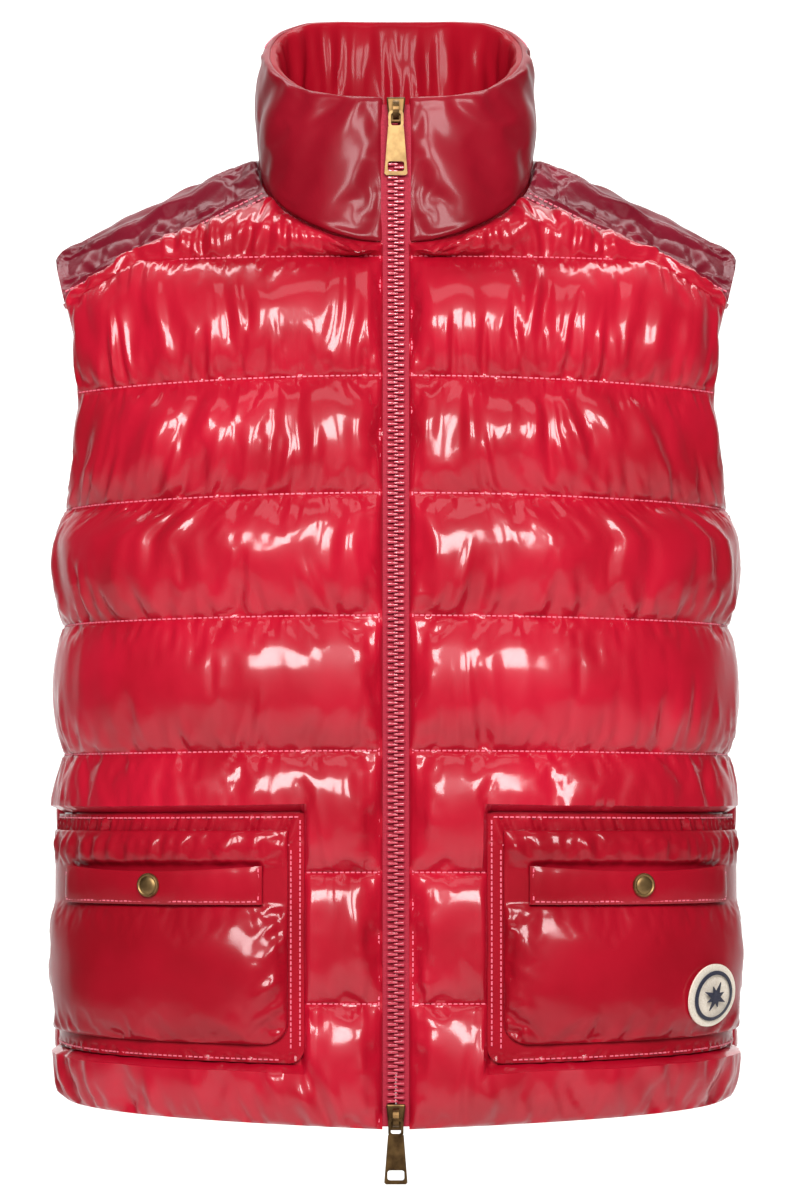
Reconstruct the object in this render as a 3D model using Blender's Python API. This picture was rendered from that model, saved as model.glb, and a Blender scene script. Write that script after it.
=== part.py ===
# Puffer vest: a filled-out, quilted sleeveless jacket that keeps its hollow worn form.
# Metres, +Z up, fronts towards -Y, the wearer's left at +X. The origin lies on the body's
# middle line at the height of the neck's side, where the wearer's shoulders carry it.

from collections import namedtuple
from functools import lru_cache
from math import atan2, cos, pi, radians, sin, sqrt

import bmesh
import bpy
import numpy as np
from mathutils import Matrix, Vector

MM = 0.001

# ---------------------------------------------------------------- driving dimensions
GAP = 0.3 * MM                    # clearance left between any two sewn pieces
SEAM_WALL = 3.0 * MM              # outer cloth, inner cloth and flattened fill at a seam
FRONT_PUFF = 12.0 * MM            # how far a channel stands out at the front and back
SIDE_PUFF = 5.5 * MM              # and at the side seams
INNER_PUFF = 5.0 * MM             # how far a channel stands in towards the wearer
SQUARENESS = 2.60                 # 2 is an ellipse, more is boxier
ZIP_EDGE = 7.5 * MM               # from the middle line to the fronts' stitched edges

Section = namedtuple("Section", "height half_width front back")
Seam = namedtuple("Seam", "centre drop")
Patch = namedtuple("Patch", "inner outer top bottom")

# Horizontal sections of the body (mm).
SECTIONS = [Section(*row) for row in (
    (40, 200, 40, 52),
    (20, 200, 42, 62),
    (0, 200, 48, 74),
    (-17, 200, 64, 84),
    (-32, 207, 76, 92),
    (-57, 207, 88, 99),
    (-90, 200, 99, 105),
    (-130, 195, 108, 109),
    (-165, 191, 114, 111),
    (-200, 192, 118, 112),
    (-260, 191, 121, 113),
    (-420, 192, 121, 113),
    (-500, 192, 121, 114),
)]

# Quilting seams from the neck down, the hem last (mm): height at the centre front and how far
# the seam has dropped when it reaches the side; the hem rises instead, at an even slope.
QUILTING = [Seam(*row) for row in (
    (-37.5, 3),
    (-106, 8),
    (-172, 9),
    (-240.5, 8),
    (-316, 6),
    (-384, 4),
    (-457.5, 0),
    (-527.5, -11),
)]
ROWS_PER_CHANNEL = 4

# The seam that joins the body to the collar: angle from the centre front (degrees), height (mm).
NECK_HALF_WIDTH = 78.5 * MM
NECK_FRONT = 80 * MM
NECK_BACK = 62 * MM
NECK_RISE = ((0, -31), (14, -29.5), (26, -25), (37, -18.5), (49, -9.5), (57, -2), (75, 12), (90, 20),
             (135, 28), (180, 31))
YOKE_FRONT_ANGLE = 57             # where the yoke's front seam meets the neck seam
YOKE_BACK_ANGLE = 128             # and its back seam

# Shoulder corners at the armhole (mm).
FRONT_CORNER = (190.5, -45, -63)
SHOULDER_TIP = (197, 2, -38)
BACK_CORNER = (190.5, 48, -52)
FRONT_NECK_SHARE = 0.40           # part of a front's upper edge that is sewn to the collar
BACK_NECK_SHARE = 0.37            # and of half the back's
YOKE_PUFF = 7.0 * MM
YOKE_INSETS = (0.009, 0.052)      # shares that its outer and inner faces keep in from its seams

# Armhole edge: height (mm), angle of the front edge from the centre front and of the back
# edge from the centre back (degrees). At 90 both lie on the side seam.
ARMHOLE = ((-45, 77), (-80, 74), (-120, 73), (-150, 75), (-168, 78), (-182, 82), (-198, 90))

# Collar (mm).
COLLAR_RIM_HALF_WIDTH = 76 * MM
COLLAR_RIM_FRONT = 71 * MM
COLLAR_RIM_BACK = 64 * MM
RIM_RISE = ((0, 53), (25, 54.5), (41, 58.5), (54, 66), (70, 76), (90, 86), (109, 95.5), (121, 103),
            (135, 108.5), (150, 110), (180, 110))     # angle from the centre front, height
COLLAR_PUFF = 3.2 * MM
COLLAR_INNER_PUFF = 3.0 * MM
FACING_PUFF = 0.5 * MM            # how much further the facing stands in
COLLAR_CLEAR = 0.9 * MM           # over the body at the neck seam
COLLAR_FLARE = 0.7                # from 0 to 1: how soon the collar narrows above its seam
FACING_WALL = 2.5 * MM

# Pocket pieces: shares of the way from the zip edge to the side seam, and places down the
# quilting, counted in channels from the neck.
POCKET_FRAME = Patch(0.172, 0.955, 5.512, 7.490)
POCKET_BAG = Patch(0.207, 0.930, 5.645, 7.340)
POCKET_WELT = Patch(0.262, 0.760, 5.940, 6.240)
FRAME_SIZE = (195, 140)           # mm across and down
BAG_SIZE = (180, 121)
FRAME_CORNER = 9                  # radius of the lower inner corner, mm
BAG_CORNER = 14
BAG_ROWS = (0, 0.10, 0.26, 0.44, 0.58, 0.649, 0.826, 0.91, 1)
FRAME_WALL = 1.6 * MM
WELT_WALL = 3.0 * MM
WELT_CROWN = 1.5 * MM
BAG_WALL = 2.1 * MM
POCKET_LIFT = 0.9 * MM            # the frame's clearance over the front's flat place
BAG_PUFF = 11.0 * MM
BAG_TOP_PUFF = 4.0 * MM
BAG_SIDE_SHARE = 0.35             # share of the puff left at the side
SNAP_RADIUS = 6.8 * MM
SNAP_LIFT = 2.0 * MM              # the snap's flange over the welt's seam level
BADGE_PLACE = (0.685, 6.985)      # share, and channels down
BADGE_RADIUS = 19 * MM
BADGE_WALL = 1.6 * MM
BADGE_LIFT = 0.4 * MM

# Zip (mm).
TAPE_WALL = 1.2 * MM
TAPE_SINK = 1.0 * MM              # how far the tape lies behind the fronts' face
TAPE_SPAN = (49 * MM, -526 * MM)
SLIDER_SIZE = (11 * MM, 4.0 * MM, 14.5 * MM)
PULL_BAR = 1.5 * MM               # thickness of the ring's wire and of the tab
RING_SIZE = (8.6 * MM, 10.0 * MM)
TAB_WIDTHS = (8.8 * MM, 13.0 * MM)
TAB_LENGTH = 27.5 * MM
TAB_HOLE = (9.4 * MM, 5.6 * MM)
TOP_SLIDER_HEIGHT = 45.5 * MM
BOTTOM_SLIDER_HEIGHT = -520.5 * MM
BAIL_WIDTH = 3.4 * MM
BAIL_BAR = 1.2 * MM
BAIL_REACH = 4.6 * MM
BAIL_HEIGHT = 11.0 * MM
BAIL_SUNK = 0.4 * MM              # how deep its feet go into the slider

FRONT_SHARES = (0, 0.03, 0.085, 0.135, 0.170, 0.28, 0.39, 0.50, 0.61, 0.72, 0.83, 0.93, 1)
BACK_SHARES = (0, 0.12, 0.26, 0.42, 0.58, 0.76, 0.92, 1)
POCKET_SHARE = 0.165              # fronts lie flat from here outwards
POCKET_FLAT = (5.45, 7.55)        # and between these channels


# ---------------------------------------------------------------- materials
def make_material(name, colour, roughness, metallic=0.0):
    material = bpy.data.materials.new(name)
    material.use_nodes = True
    shader = material.node_tree.nodes["Principled BSDF"]
    shader.inputs["Base Color"].default_value = (*colour, 1.0)
    shader.inputs["Roughness"].default_value = roughness
    shader.inputs["Metallic"].default_value = metallic
    return material


# ---------------------------------------------------------------- the body's form
@lru_cache(maxsize=None)
def section_at(height):
    """Half width, front depth and back depth of the body at a height."""
    heights, *sizes = zip(*SECTIONS[::-1])
    return [float(np.interp(height / MM, heights, size)) * MM for size in sizes]


def oval(angle, half_width, front, back):
    """Point of a boxy oval at an angle from the centre front, towards +X."""
    depth = front if cos(angle) > 0 else back
    reach = (abs(sin(angle)) / half_width) ** SQUARENESS + (abs(cos(angle)) / depth) ** SQUARENESS
    radius = reach ** (-1 / SQUARENESS)
    return radius * sin(angle), -radius * cos(angle)


def body_point(angle, height):
    x, y = oval(angle, *section_at(height))
    return Vector((x, y, height))


def armhole_angle(height):
    heights, angles = zip(*ARMHOLE[::-1])
    return radians(float(np.interp(height / MM, heights, angles)))


@lru_cache(maxsize=None)
def section_track(height, start, end):
    """Angles along a section and the length of cloth up to each."""
    half_width, front, back = section_at(height)
    angles = np.linspace(start, end, 49)
    depth = np.where(np.cos(angles) > 0, front, back)
    across = (np.abs(np.sin(angles)) / half_width) ** SQUARENESS
    radius = (across + (np.abs(np.cos(angles)) / depth) ** SQUARENESS) ** (-1 / SQUARENESS)
    steps = np.hypot(np.diff(radius * np.sin(angles)), np.diff(radius * np.cos(angles)))
    return angles, np.concatenate(([0.0], np.cumsum(steps)))


def along_section(share, height, start, end):
    """Point that lies a share of the way along a section, measured on the cloth."""
    angles, reached = section_track(height, start, end)
    return body_point(float(np.interp(share * reached[-1], reached, angles)), height)


def neck_point(degrees):
    angle = radians(degrees)
    x, y = oval(angle, NECK_HALF_WIDTH, NECK_FRONT, NECK_BACK)
    angles, heights = zip(*NECK_RISE)
    return Vector((x, y, float(np.interp(abs(degrees), angles, heights)) * MM))


def mix(a, b, share):
    return a + (b - a) * share


def bow(start, middle, end, share):
    """Curve through three points, at shares 0, one half and 1."""
    pull = 2 * middle - 0.5 * (start + end)
    return mix(mix(start, pull, share), mix(pull, end, share), share)


def corner(numbers):
    return Vector(numbers) * MM


def zip_neck_degrees():
    return atan2(ZIP_EDGE, NECK_FRONT) * 180 / pi


def top_edge(share, start_degrees, yoke_degrees, shoulder, neck_share):
    """Upper edge of a front or back: along the neck seam, then along the yoke's seam."""
    if share < neck_share:
        return neck_point(mix(start_degrees, yoke_degrees, share / neck_share))
    return mix(neck_point(yoke_degrees), shoulder, (share - neck_share) / (1 - neck_share))


def front_top(share):
    return top_edge(share, zip_neck_degrees(), YOKE_FRONT_ANGLE, corner(FRONT_CORNER), FRONT_NECK_SHARE)


def back_top(share):
    return top_edge(share, 180, YOKE_BACK_ANGLE, corner(BACK_CORNER), BACK_NECK_SHARE)


def row_height(share, row, top, front):
    """Height of seam number row (0 is the upper edge, 8 the hem) at a share of the width."""
    if row == 0:
        return top.z
    centre, drop = QUILTING[row - 1]
    turned = 1.0
    if front:
        turned = share if row == len(QUILTING) else 1 - cos(share * pi / 2)
    return min((centre - drop * turned) * MM, top.z - 2 * MM * row)


def panel_point(share, down, edge, front):
    """Point of a front (or of half the back) at seam level; down counts channels from the top."""
    top = edge(share)
    row = min(int(down), len(QUILTING) - 1)
    height = mix(row_height(share, row, top, front), row_height(share, row + 1, top, front), down - row)

    def on_section(level):
        limit = armhole_angle(level) - GAP / 2 / section_at(level)[0]
        if front:
            start = atan2(ZIP_EDGE, section_at(level)[1])
            return along_section(share, level, start, limit)
        return along_section(share, level, pi, pi - limit)

    place = on_section(height)
    hold = max(0.0, 1 - down / 1.5) ** 2
    return place + (top - on_section(top.z)) * hold if hold else place


def front_point(share, down):
    return panel_point(share, down, front_top, True)


def back_point(share, down):
    return panel_point(share, down, back_top, False)


def lifted(surface, u, v, height, level=False):
    """Point of a surface moved out along its normal, away from the wearer, or levelly out."""
    step = 1e-3
    here = surface(u, v)
    across = surface(min(u + step, 1), v) - surface(max(u - step, 0), v)
    along = surface(u, v + step) - surface(u, max(v - step, 0))
    normal = across.cross(along).normalized()
    if normal.dot(here - Vector((0, 0, here.z - 0.05))) < 0:
        normal.negate()
    if level:
        normal = Vector((normal.x, normal.y, 0)).normalized()
    return here + normal * height


def swell(share):
    """Rounded rise of a channel between its two seams."""
    return max(0.0, sin(pi * min(max(share, 0), 1))) ** 0.62


def ease_in(distance, width):
    return swell(0.5 * min(1.0, distance / width))


def front_swell(share, down):
    if share > POCKET_SHARE and POCKET_FLAT[0] < down < POCKET_FLAT[1]:
        return 0.0
    edges = ease_in(share, 0.09) * ease_in(1 - share, 0.07)
    return swell(down % 1) * edges


def puff_height(share):
    return mix(FRONT_PUFF, SIDE_PUFF, share ** 3)


# ---------------------------------------------------------------- making solids
def new_object(name, bm, material, smooth_angle=None):
    bmesh.ops.remove_doubles(bm, verts=bm.verts[:], dist=1e-6)
    bmesh.ops.recalc_face_normals(bm, faces=bm.faces[:])
    mesh = bpy.data.meshes.new(name)
    bm.to_mesh(mesh)
    bm.free()
    mesh.materials.append(material)
    if smooth_angle is not None:
        mesh.shade_smooth()
        mesh.set_sharp_from_angle(angle=radians(smooth_angle))
    made = bpy.data.objects.new(name, mesh)
    bpy.context.scene.collection.objects.link(made)
    return made


def spread(shares):
    """Grid place (0 to 1, evenly stepped) to a share from a list of column places."""
    return lambda t: float(np.interp(t, np.linspace(0, 1, len(shares)), shares))


def cloth_wall(name, columns, rows, outer, inner, material, side=1):
    """Closed wall between two surfaces, each a function of the grid's place (0 to 1 both ways)."""
    bm = bmesh.new()
    place = bm.verts.layers.float_vector.new("place")
    bmesh.ops.create_grid(bm, x_segments=columns, y_segments=rows, size=0.5)
    for vert in bm.verts:
        vert[place] = vert.co + Vector((0.5, 0.5, 0))
    made = bmesh.ops.extrude_face_region(bm, geom=bm.faces[:])["geom"]
    raised = {item for item in made if isinstance(item, bmesh.types.BMVert)}
    for vert in bm.verts:
        u, v, _ = vert[place]
        point = outer(u, v) if vert in raised else inner(u, v)
        vert.co = Vector((side * point.x, point.y, point.z))
    return new_object(name, bm, material, smooth_angle=50)


def make_front(name, side, material):
    share_at = spread(FRONT_SHARES)
    channels = len(QUILTING)

    def outer(u, v):
        share, down = share_at(u), channels * (1 - v)
        return lifted(front_point, share, down, puff_height(share) * front_swell(share, down))

    def inner(u, v):
        share, down = share_at(u), channels * (1 - v)
        depth = SEAM_WALL + INNER_PUFF * front_swell(share, down)
        return lifted(front_point, share, down, -depth)

    rows = channels * ROWS_PER_CHANNEL
    return cloth_wall(name, len(FRONT_SHARES) - 1, rows, outer, inner, material, side)


def make_back(material):
    both = [-share for share in BACK_SHARES[::-1]] + list(BACK_SHARES[1:])
    share_at = spread(both)
    channels = len(QUILTING)

    def point(u, v, sign):
        signed, down = share_at(u), channels * (1 - v)
        share = abs(signed)
        puff = swell(down % 1) * ease_in(1 - share, 0.07)
        height = puff_height(share) * puff if sign > 0 else -SEAM_WALL - INNER_PUFF * puff
        place = lifted(back_point, share, down, height)
        if share == 0:
            place.x = 0
        return Vector((place.x if signed > 0 else -place.x, place.y, place.z))

    rows = channels * ROWS_PER_CHANNEL
    return cloth_wall("back", len(both) - 1, rows, lambda u, v: point(u, v, 1),
                      lambda u, v: point(u, v, -1), material)


def yoke_point(u, v):
    """Shoulder surface: u runs from the neck to the armhole, v from the front to the back seam."""
    front_neck, back_neck = neck_point(YOKE_FRONT_ANGLE), neck_point(YOKE_BACK_ANGLE)
    front_tip, back_tip = corner(FRONT_CORNER), corner(BACK_CORNER)
    front, back = mix(front_neck, front_tip, u), mix(back_neck, back_tip, u)
    neck = neck_point(mix(YOKE_FRONT_ANGLE, YOKE_BACK_ANGLE, v))
    arm = bow(front_tip, corner(SHOULDER_TIP), back_tip, v)
    corners = mix(mix(front_neck, back_neck, v), mix(front_tip, back_tip, v), u)
    return mix(front, back, v) + mix(neck, arm, u) - corners


def make_yoke(name, side, material):
    def surface(u, v, sign):
        puff = swell(v) ** 0.8 * ease_in(u, 0.15) * ease_in(1 - u, 0.15)
        height = YOKE_PUFF * puff if sign > 0 else -SEAM_WALL - 2 * MM * puff
        inset = YOKE_INSETS[0] if sign > 0 else YOKE_INSETS[1]
        return lifted(yoke_point, mix(inset, 1 - inset, u), mix(inset, 1 - inset, v), height)

    return cloth_wall(name, 8, 6, lambda u, v: surface(u, v, 1), lambda u, v: surface(u, v, -1),
                      material, side)


# ---------------------------------------------------------------- collar
def rim_point(degrees):
    x, y = oval(radians(degrees), COLLAR_RIM_HALF_WIDTH, COLLAR_RIM_FRONT, COLLAR_RIM_BACK)
    angles, heights = zip(*RIM_RISE)
    turned = min(degrees, 360 - degrees)
    return Vector((x, y, float(np.interp(turned, angles, heights)) * MM))


def collar_angle(u, depth):
    """Angle round the neck for a share from the left zip edge round the back to the right one."""
    start = atan2(ZIP_EDGE, depth) * 180 / pi
    return mix(start, 360 - start, u)


def collar_point(u, v):
    degrees = collar_angle(u, NECK_FRONT)
    low = neck_point(degrees if degrees <= 180 else 360 - degrees)
    if degrees > 180:
        low.x = -low.x
    low = low + Vector((0, 0, COLLAR_CLEAR))
    high = rim_point(collar_angle(u, COLLAR_RIM_FRONT))
    across = mix(low, high, mix(v, v * (2 - v), COLLAR_FLARE))
    return Vector((across.x, across.y, mix(low.z, high.z, v)))


def collar_puff(u, v):
    return swell(v) * ease_in(u, 0.05) * ease_in(1 - u, 0.05)


def make_collar(material):
    def outer(u, v):
        return lifted(collar_point, u, v, COLLAR_PUFF * collar_puff(u, v), level=True)

    def inner(u, v):
        return lifted(collar_point, u, v, -SEAM_WALL - COLLAR_INNER_PUFF * collar_puff(u, v), level=True)

    return cloth_wall("collar", 26, 5, outer, inner, material)


def make_facing(material):
    def outer(u, v):
        depth = SEAM_WALL + COLLAR_INNER_PUFF * collar_puff(u, v) + 2 * GAP
        return lifted(collar_point, u, v, -depth, level=True)

    def inner(u, v):
        puff = (COLLAR_INNER_PUFF + FACING_PUFF) * collar_puff(u, v)
        depth = SEAM_WALL + puff + 2 * GAP + FACING_WALL
        return lifted(collar_point, u, v, -depth, level=True)

    return cloth_wall("collar_facing", 26, 5, outer, inner, material)


# ---------------------------------------------------------------- pockets
def pocket_surface(piece):
    """Seam-level surface under a pocket piece: u from its inner to its outer edge, v upwards."""
    return lambda u, v: front_point(mix(piece.inner, piece.outer, u), mix(piece.bottom, piece.top, v))


def rounded_corner(u, v, size, radius):
    """Pulls the lower inner corner of a pocket piece in to a round (size and radius in mm)."""
    width, height = size
    left, low = radius - u * width, radius - v * height
    if left <= 0 or low <= 0:
        return u, v
    scale = max(left, low) / sqrt(left ** 2 + low ** 2)
    return (radius - left * scale) / width, (radius - low * scale) / height


def make_frame(name, side, material):
    surface = pocket_surface(POCKET_FRAME)

    def at(u, v, lift):
        u, v = rounded_corner(u, v, FRAME_SIZE, FRAME_CORNER)
        return lifted(surface, u, v, lift)

    return cloth_wall(name, 12, 6, lambda u, v: at(u, v, POCKET_LIFT + FRAME_WALL),
                      lambda u, v: at(u, v, POCKET_LIFT), material, side)


def bag_base():
    return POCKET_LIFT + FRAME_WALL + 2 * GAP


def bag_swell(v):
    """Puffed band above the welt, the flat place under it, and the full bag below."""
    down = mix(POCKET_BAG.bottom, POCKET_BAG.top, v)
    upper, lower = POCKET_WELT.top, POCKET_WELT.bottom
    if down < upper:
        return BAG_TOP_PUFF * swell((upper - down) / (upper - POCKET_BAG.top))
    if down < lower:
        return 0.0
    return BAG_PUFF * swell((POCKET_BAG.bottom - down) / (POCKET_BAG.bottom - lower))


def bag_puff(u, v):
    """The bag is fullest towards the zip and flatter where it turns to the side."""
    fullness = mix(1.0, BAG_SIDE_SHARE, min(max(u, 0), 1) ** 1.5)
    return bag_swell(v) * fullness * ease_in(u, 0.10) * ease_in(1 - u, 0.06)


def make_bag(name, side, material):
    surface = pocket_surface(POCKET_BAG)
    row_at = spread(BAG_ROWS)

    def at(u, v, sign):
        row = row_at(v)
        puff = bag_puff(u, row)
        u, row = rounded_corner(u, row, BAG_SIZE, BAG_CORNER)
        lift = bag_base() + (BAG_WALL + puff if sign > 0 else 0)
        return lifted(surface, u, row, lift)

    return cloth_wall(name, 12, len(BAG_ROWS) - 1, lambda u, v: at(u, v, 1),
                      lambda u, v: at(u, v, -1), material, side)


def welt_base():
    return bag_base() + BAG_WALL + 3 * GAP


def make_welt(name, side, material):
    surface = pocket_surface(POCKET_WELT)

    def at(u, v, sign):
        v = mix(0.03, 0.97, v)
        crown = WELT_CROWN * swell(v) * ease_in(u, 0.08) * ease_in(1 - u, 0.08)
        return lifted(surface, u, v, welt_base() + (WELT_WALL + crown if sign > 0 else 0))

    return cloth_wall(name, 10, 3, lambda u, v: at(u, v, 1), lambda u, v: at(u, v, -1),
                      material, side)


def turned_disc(name, profile, centre, axis, material, side, segments=24):
    """Round solid from a profile of (radius, height) pairs along its axis."""
    bm = bmesh.new()
    verts = [bm.verts.new((radius, 0, height)) for radius, height in profile]
    edges = [bm.edges.new(pair) for pair in zip(verts, verts[1:])]
    bmesh.ops.spin(bm, geom=verts + edges, cent=(0, 0, 0), axis=(0, 0, 1), angle=2 * pi,
                   steps=segments, use_merge=True)
    turn = Vector((0, 0, 1)).rotation_difference(axis).to_matrix().to_4x4()
    bmesh.ops.transform(bm, matrix=Matrix.Translation(centre) @ turn, verts=bm.verts[:])
    bmesh.ops.scale(bm, vec=(side, 1, 1), verts=bm.verts[:])
    return new_object(name, bm, material, smooth_angle=40)


def make_snap(name, side, material):
    surface = pocket_surface(POCKET_WELT)
    lift = welt_base() + WELT_WALL + SNAP_LIFT
    base = lifted(surface, 0.5, 0.5, lift)
    axis = (lifted(surface, 0.5, 0.5, lift + 0.01) - base).normalized()
    r = SNAP_RADIUS
    profile = ((0, 0), (r * 0.86, 0), (r, 0.5 * MM), (r * 0.97, 1.3 * MM), (r * 0.78, 2.0 * MM),
               (r * 0.4, 2.5 * MM), (0, 2.65 * MM))
    return turned_disc(name, profile, base, axis, material, side)


def make_badge(material):
    """Round patch that follows the pocket bag's swelling: a flat disc laid on the bag's points."""
    share, down = BADGE_PLACE
    middle_u = (share - POCKET_BAG.inner) / (POCKET_BAG.outer - POCKET_BAG.inner)
    middle_v = (POCKET_BAG.bottom - down) / (POCKET_BAG.bottom - POCKET_BAG.top)
    surface = pocket_surface(POCKET_BAG)
    width = (surface(0.55, 0.3) - surface(0.54, 0.3)).length * 100
    height = (surface(0.5, 0.31) - surface(0.5, 0.30)).length * 100
    r = BADGE_RADIUS
    rings = [(r * step / 3, BADGE_WALL) for step in range(3)]
    profile = [(0, 0), (r / 2, 0), (r, 0), (r, 0.9 * MM), (r - 0.8 * MM, BADGE_WALL)] + rings[::-1]
    badge = turned_disc("badge", profile, Vector(), Vector((0, 0, 1)), material, 1, segments=30)
    for vert in badge.data.vertices:
        x, y, lift = vert.co
        u, v = middle_u + x / width, middle_v + y / height
        base = bag_base() + BAG_WALL + BADGE_LIFT
        vert.co = lifted(surface, u, v, base + bag_puff(u, v) + lift)
    return badge


# ---------------------------------------------------------------- zip
def front_profile(height):
    """How far forward the fronts' stitched edges lie at a height (y)."""
    join = neck_point(zip_neck_degrees()).z
    if height > join:
        base, rim = collar_point(0, 0), collar_point(0, 1)
        share = (height - base.z) / (rim.z - base.z)
        return mix(base, rim, share).y
    downs = np.linspace(0, len(QUILTING), 161)
    points = [front_point(0, down) for down in downs]
    return float(np.interp(-height, [-p.z for p in points], [p.y for p in points]))


def make_tape(name, side, material):
    top, bottom = TAPE_SPAN

    def at(u, v, depth):
        height = mix(bottom, top, v)
        x = mix(GAP / 2, ZIP_EDGE - 1.5 * GAP, u)
        return Vector((x, front_profile(height) + TAPE_SINK + depth, height))

    return cloth_wall(name, 1, 24, lambda u, v: at(u, v, 0), lambda u, v: at(u, v, TAPE_WALL),
                      material, side)


def tape_face(height):
    """The most forward that the tape reaches over a slider's length."""
    half = SLIDER_SIZE[2] / 2
    return min(front_profile(height + half * step / 4) for step in range(-4, 5)) + TAPE_SINK


def box(bm, size, centre):
    made = bmesh.ops.create_cube(bm, size=1)["verts"]
    bmesh.ops.scale(bm, vec=size, verts=made)
    bmesh.ops.translate(bm, vec=centre, verts=made)
    return made


def union(target, other):
    """Joins another object into the target and removes it."""
    join = target.modifiers.new("Join", "BOOLEAN")
    join.operation = "UNION"
    join.solver = "EXACT"
    join.object = other
    bake(target)
    bpy.data.objects.remove(other)


def bake(target):
    """Applies the object's modifiers to its mesh."""
    graph = bpy.context.evaluated_depsgraph_get()
    graph.update()
    mesh = bpy.data.meshes.new_from_object(target.evaluated_get(graph), depsgraph=graph)
    target.modifiers.clear()
    target.data = mesh


def make_slider(name, height, material):
    """Slider body in front of the tapes with the bail that carries the pull."""
    width, depth, length = SLIDER_SIZE
    face = tape_face(height) - 2 * GAP
    bm = bmesh.new()
    box(bm, SLIDER_SIZE, (0, face - depth / 2, height))
    bottom = [v for v in bm.verts if v.co.z < height]
    bmesh.ops.scale(bm, vec=(0.72, 1, 1), verts=bottom)
    bmesh.ops.bevel(bm, geom=bm.edges[:], offset=0.9 * MM, segments=2, profile=0.5, affect="EDGES",
                    material=-1)
    body = new_object(name, bm, material, smooth_angle=40)
    bail = make_bail(name + "_bail", height, face - depth, material)
    union(body, bail)
    return body


def make_bail(name, height, face, material, steps=10):
    """Flat arch from the slider's upper to its lower end."""
    def arch(reach, half):
        turns = [pi * step / steps for step in range(steps + 1)]
        foot = face + BAIL_SUNK
        return [(0, foot - (reach + BAIL_SUNK) * sin(turn), height + half * cos(turn)) for turn in turns]

    bm = bmesh.new()
    outer = arch(BAIL_REACH, BAIL_HEIGHT / 2)
    inner = arch(BAIL_REACH - BAIL_BAR, BAIL_HEIGHT / 2 - BAIL_BAR)
    verts = [bm.verts.new(point) for point in outer + inner[::-1]]
    bm.faces.new(verts)
    made = bmesh.ops.extrude_face_region(bm, geom=bm.faces[:])["geom"]
    moved = [item for item in made if isinstance(item, bmesh.types.BMVert)]
    bmesh.ops.translate(bm, vec=(BAIL_WIDTH, 0, 0), verts=moved)
    bmesh.ops.translate(bm, vec=(-BAIL_WIDTH / 2, 0, 0), verts=bm.verts[:])
    return new_object(name, bm, material)


def pull_axis(height):
    """Middle of the ring's bar, where it hangs in the bail."""
    face = tape_face(height) - 2 * GAP - SLIDER_SIZE[1]
    return Vector((0, face - (BAIL_REACH - BAIL_BAR) / 2 - 0.05 * MM, height - 1.2 * MM))


def plate(name, outline, thickness, material):
    """Flat plate in the XZ plane from an outline of (x, z) pairs."""
    bm = bmesh.new()
    verts = [bm.verts.new((x, -thickness / 2, z)) for x, z in outline]
    bm.faces.new(verts)
    made = bmesh.ops.extrude_face_region(bm, geom=bm.faces[:])["geom"]
    moved = [item for item in made if isinstance(item, bmesh.types.BMVert)]
    bmesh.ops.translate(bm, vec=(0, thickness, 0), verts=moved)
    return new_object(name, bm, material)


def round_box(half_width, half_height, radius, middle, steps=4):
    """Outline of a rectangle with round corners."""
    points = []
    for quarter, (sx, sz) in enumerate(((1, 1), (-1, 1), (-1, -1), (1, -1))):
        for step in range(steps + 1):
            angle = pi / 2 * (quarter + step / steps)
            points.append((sx * (half_width - radius) + radius * cos(angle),
                           middle + sz * (half_height - radius) + radius * sin(angle)))
    return points


def cut(target, other):
    other.hide_render = True
    other.display_type = "WIRE"
    hole = target.modifiers.new("Cut", "BOOLEAN")
    hole.operation = "DIFFERENCE"
    hole.solver = "EXACT"
    hole.object = other
    bake(target)
    bpy.data.objects.remove(other)


def make_pull(name, height, material):
    """Ring and tab in one piece, made about the joint's axis and then placed on it."""
    width, drop = RING_SIZE
    bar = PULL_BAR
    ring = plate(name, round_box(width / 2, drop / 2, 2.2 * MM, bar / 2 - drop / 2), bar, material)
    window = plate("window", round_box(width / 2 - bar, drop / 2 - bar, 1.2 * MM, bar / 2 - drop / 2),
                   3 * bar, material)
    cut(ring, window)
    top = bar / 2 - drop + 0.6 * bar
    upper, lower = TAB_WIDTHS[0] / 2, TAB_WIDTHS[1] / 2
    tab = plate("tab", ((-upper, top), (-lower, top - TAB_LENGTH + 1 * MM),
                        (-lower + 1 * MM, top - TAB_LENGTH), (lower - 1 * MM, top - TAB_LENGTH),
                        (lower, top - TAB_LENGTH + 1 * MM), (upper, top)), bar * 1.07, material)
    middle = top - TAB_LENGTH + TAB_HOLE[1] / 2 + 2.2 * MM
    slot = plate("slot", round_box(TAB_HOLE[0] / 2, TAB_HOLE[1] / 2, 1.4 * MM, middle), 3 * bar, material)
    cut(tab, slot)
    union(ring, tab)
    ring.location = pull_axis(height)
    return ring


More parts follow.
